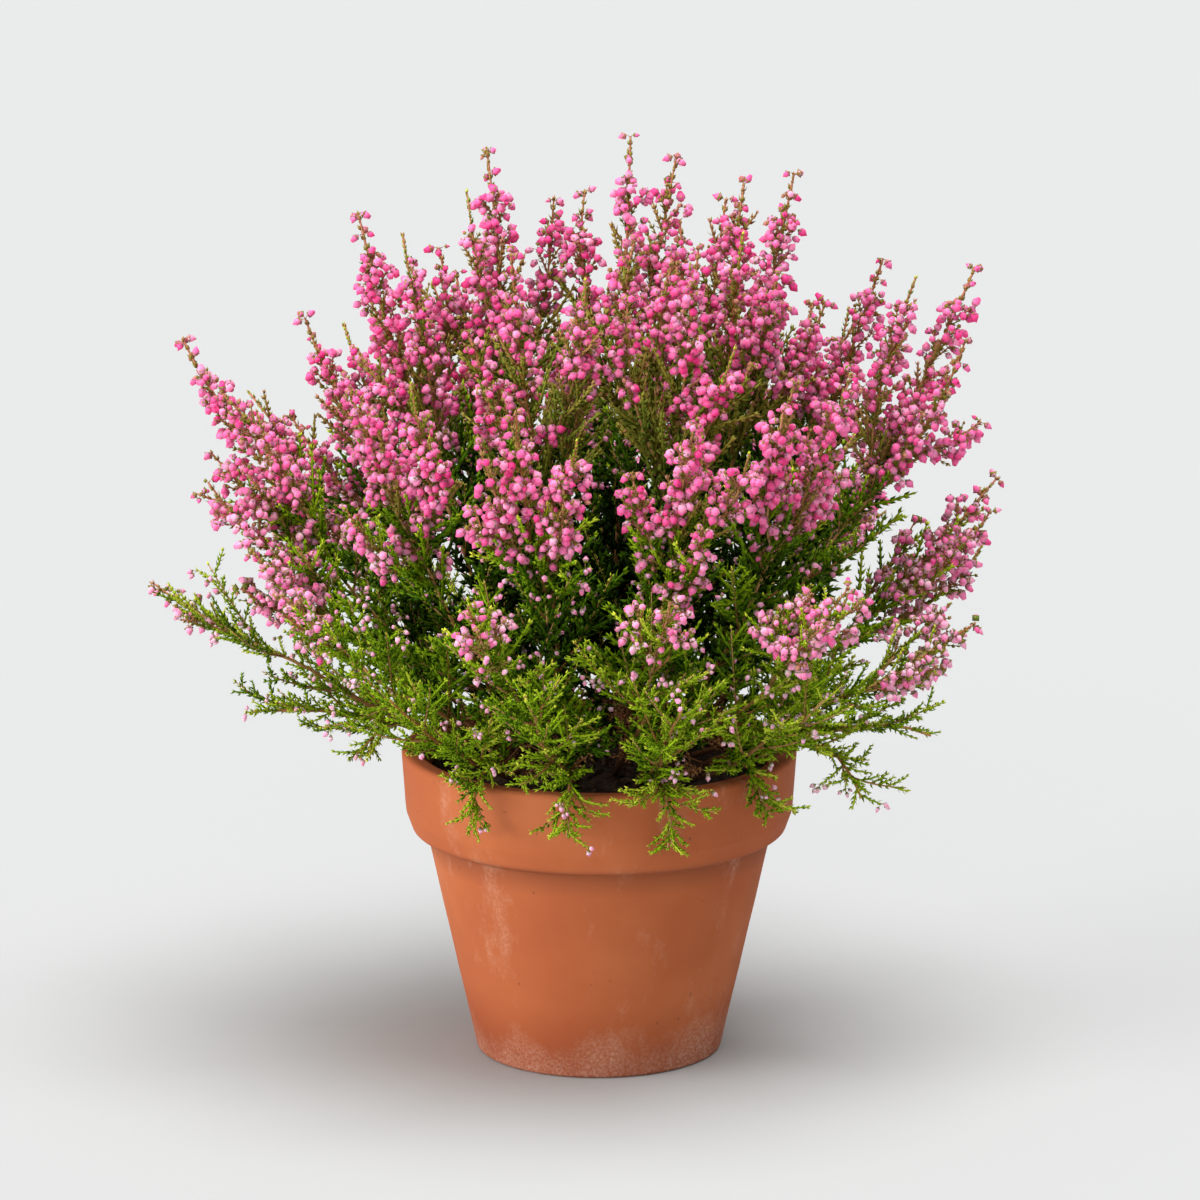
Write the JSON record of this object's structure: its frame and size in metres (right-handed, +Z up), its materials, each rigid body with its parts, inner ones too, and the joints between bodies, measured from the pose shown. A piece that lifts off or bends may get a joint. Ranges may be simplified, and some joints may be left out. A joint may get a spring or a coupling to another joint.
{
  "type": "potted cape heath",
  "caption": "Bushy fine-needled heath with spikes of small pink urn-shaped flowers, growing in a tapered terracotta pot.",
  "frame": {"origin": "centre of the pot's flat foot, on the pot's axis", "axes": "+Z up along the pot's axis, -Y towards the side that the picture shows, +X to its right"},
  "size_m": [0.297, 0.2664, 0.329],
  "materials": {
    "terracotta": "unglazed fired clay, matt, with pale lime bloom near the foot",
    "soil": "moist crumbly potting soil",
    "foliage": "semi-matt needle leaves on brown woody stems",
    "flowers": "waxy pink petals, semi-matt"
  },
  "bodies": {
    "root": {"pot": "terracotta", "soil": "soil", "bloom_01": "flowers", "bloom_02": "flowers", "bloom_03": "flowers", "bloom_04": "flowers", "bloom_05": "flowers", "bloom_06": "flowers", "bloom_07": "flowers", "bloom_08": "flowers", "bloom_09": "flowers", "bloom_10": "flowers", "bloom_11": "flowers", "bloom_12": "flowers", "bloom_13": "flowers", "bloom_14": "flowers", "bloom_15": "flowers", "bloom_16": "flowers", "bloom_17": "flowers", "bloom_18": "flowers", "bloom_19": "flowers", "bloom_20": "flowers", "bloom_21": "flowers", "bloom_22": "flowers", "bloom_23": "flowers", "bloom_24": "flowers", "bloom_25": "flowers", "bloom_26": "flowers", "bloom_27": "flowers", "bloom_28": "flowers", "bloom_29": "flowers", "bloom_30": "flowers", "spray_1": "foliage", "spray_2": "foliage", "spray_3": "foliage", "spray_4": "foliage", "spray_5": "foliage", "spray_6": "foliage", "spray_7": "foliage", "spray_8": "foliage", "branch_01": "foliage", "branch_02": "foliage", "branch_03": "foliage", "branch_04": "foliage", "branch_05": "foliage", "branch_06": "foliage", "branch_07": "foliage", "branch_08": "foliage", "branch_09": "foliage", "branch_10": "foliage", "branch_11": "foliage", "branch_12": "foliage", "branch_13": "foliage", "branch_14": "foliage", "branch_15": "foliage", "branch_16": "foliage", "branch_17": "foliage", "branch_18": "foliage", "branch_19": "foliage", "branch_20": "foliage"}
  },
  "joints": []
}
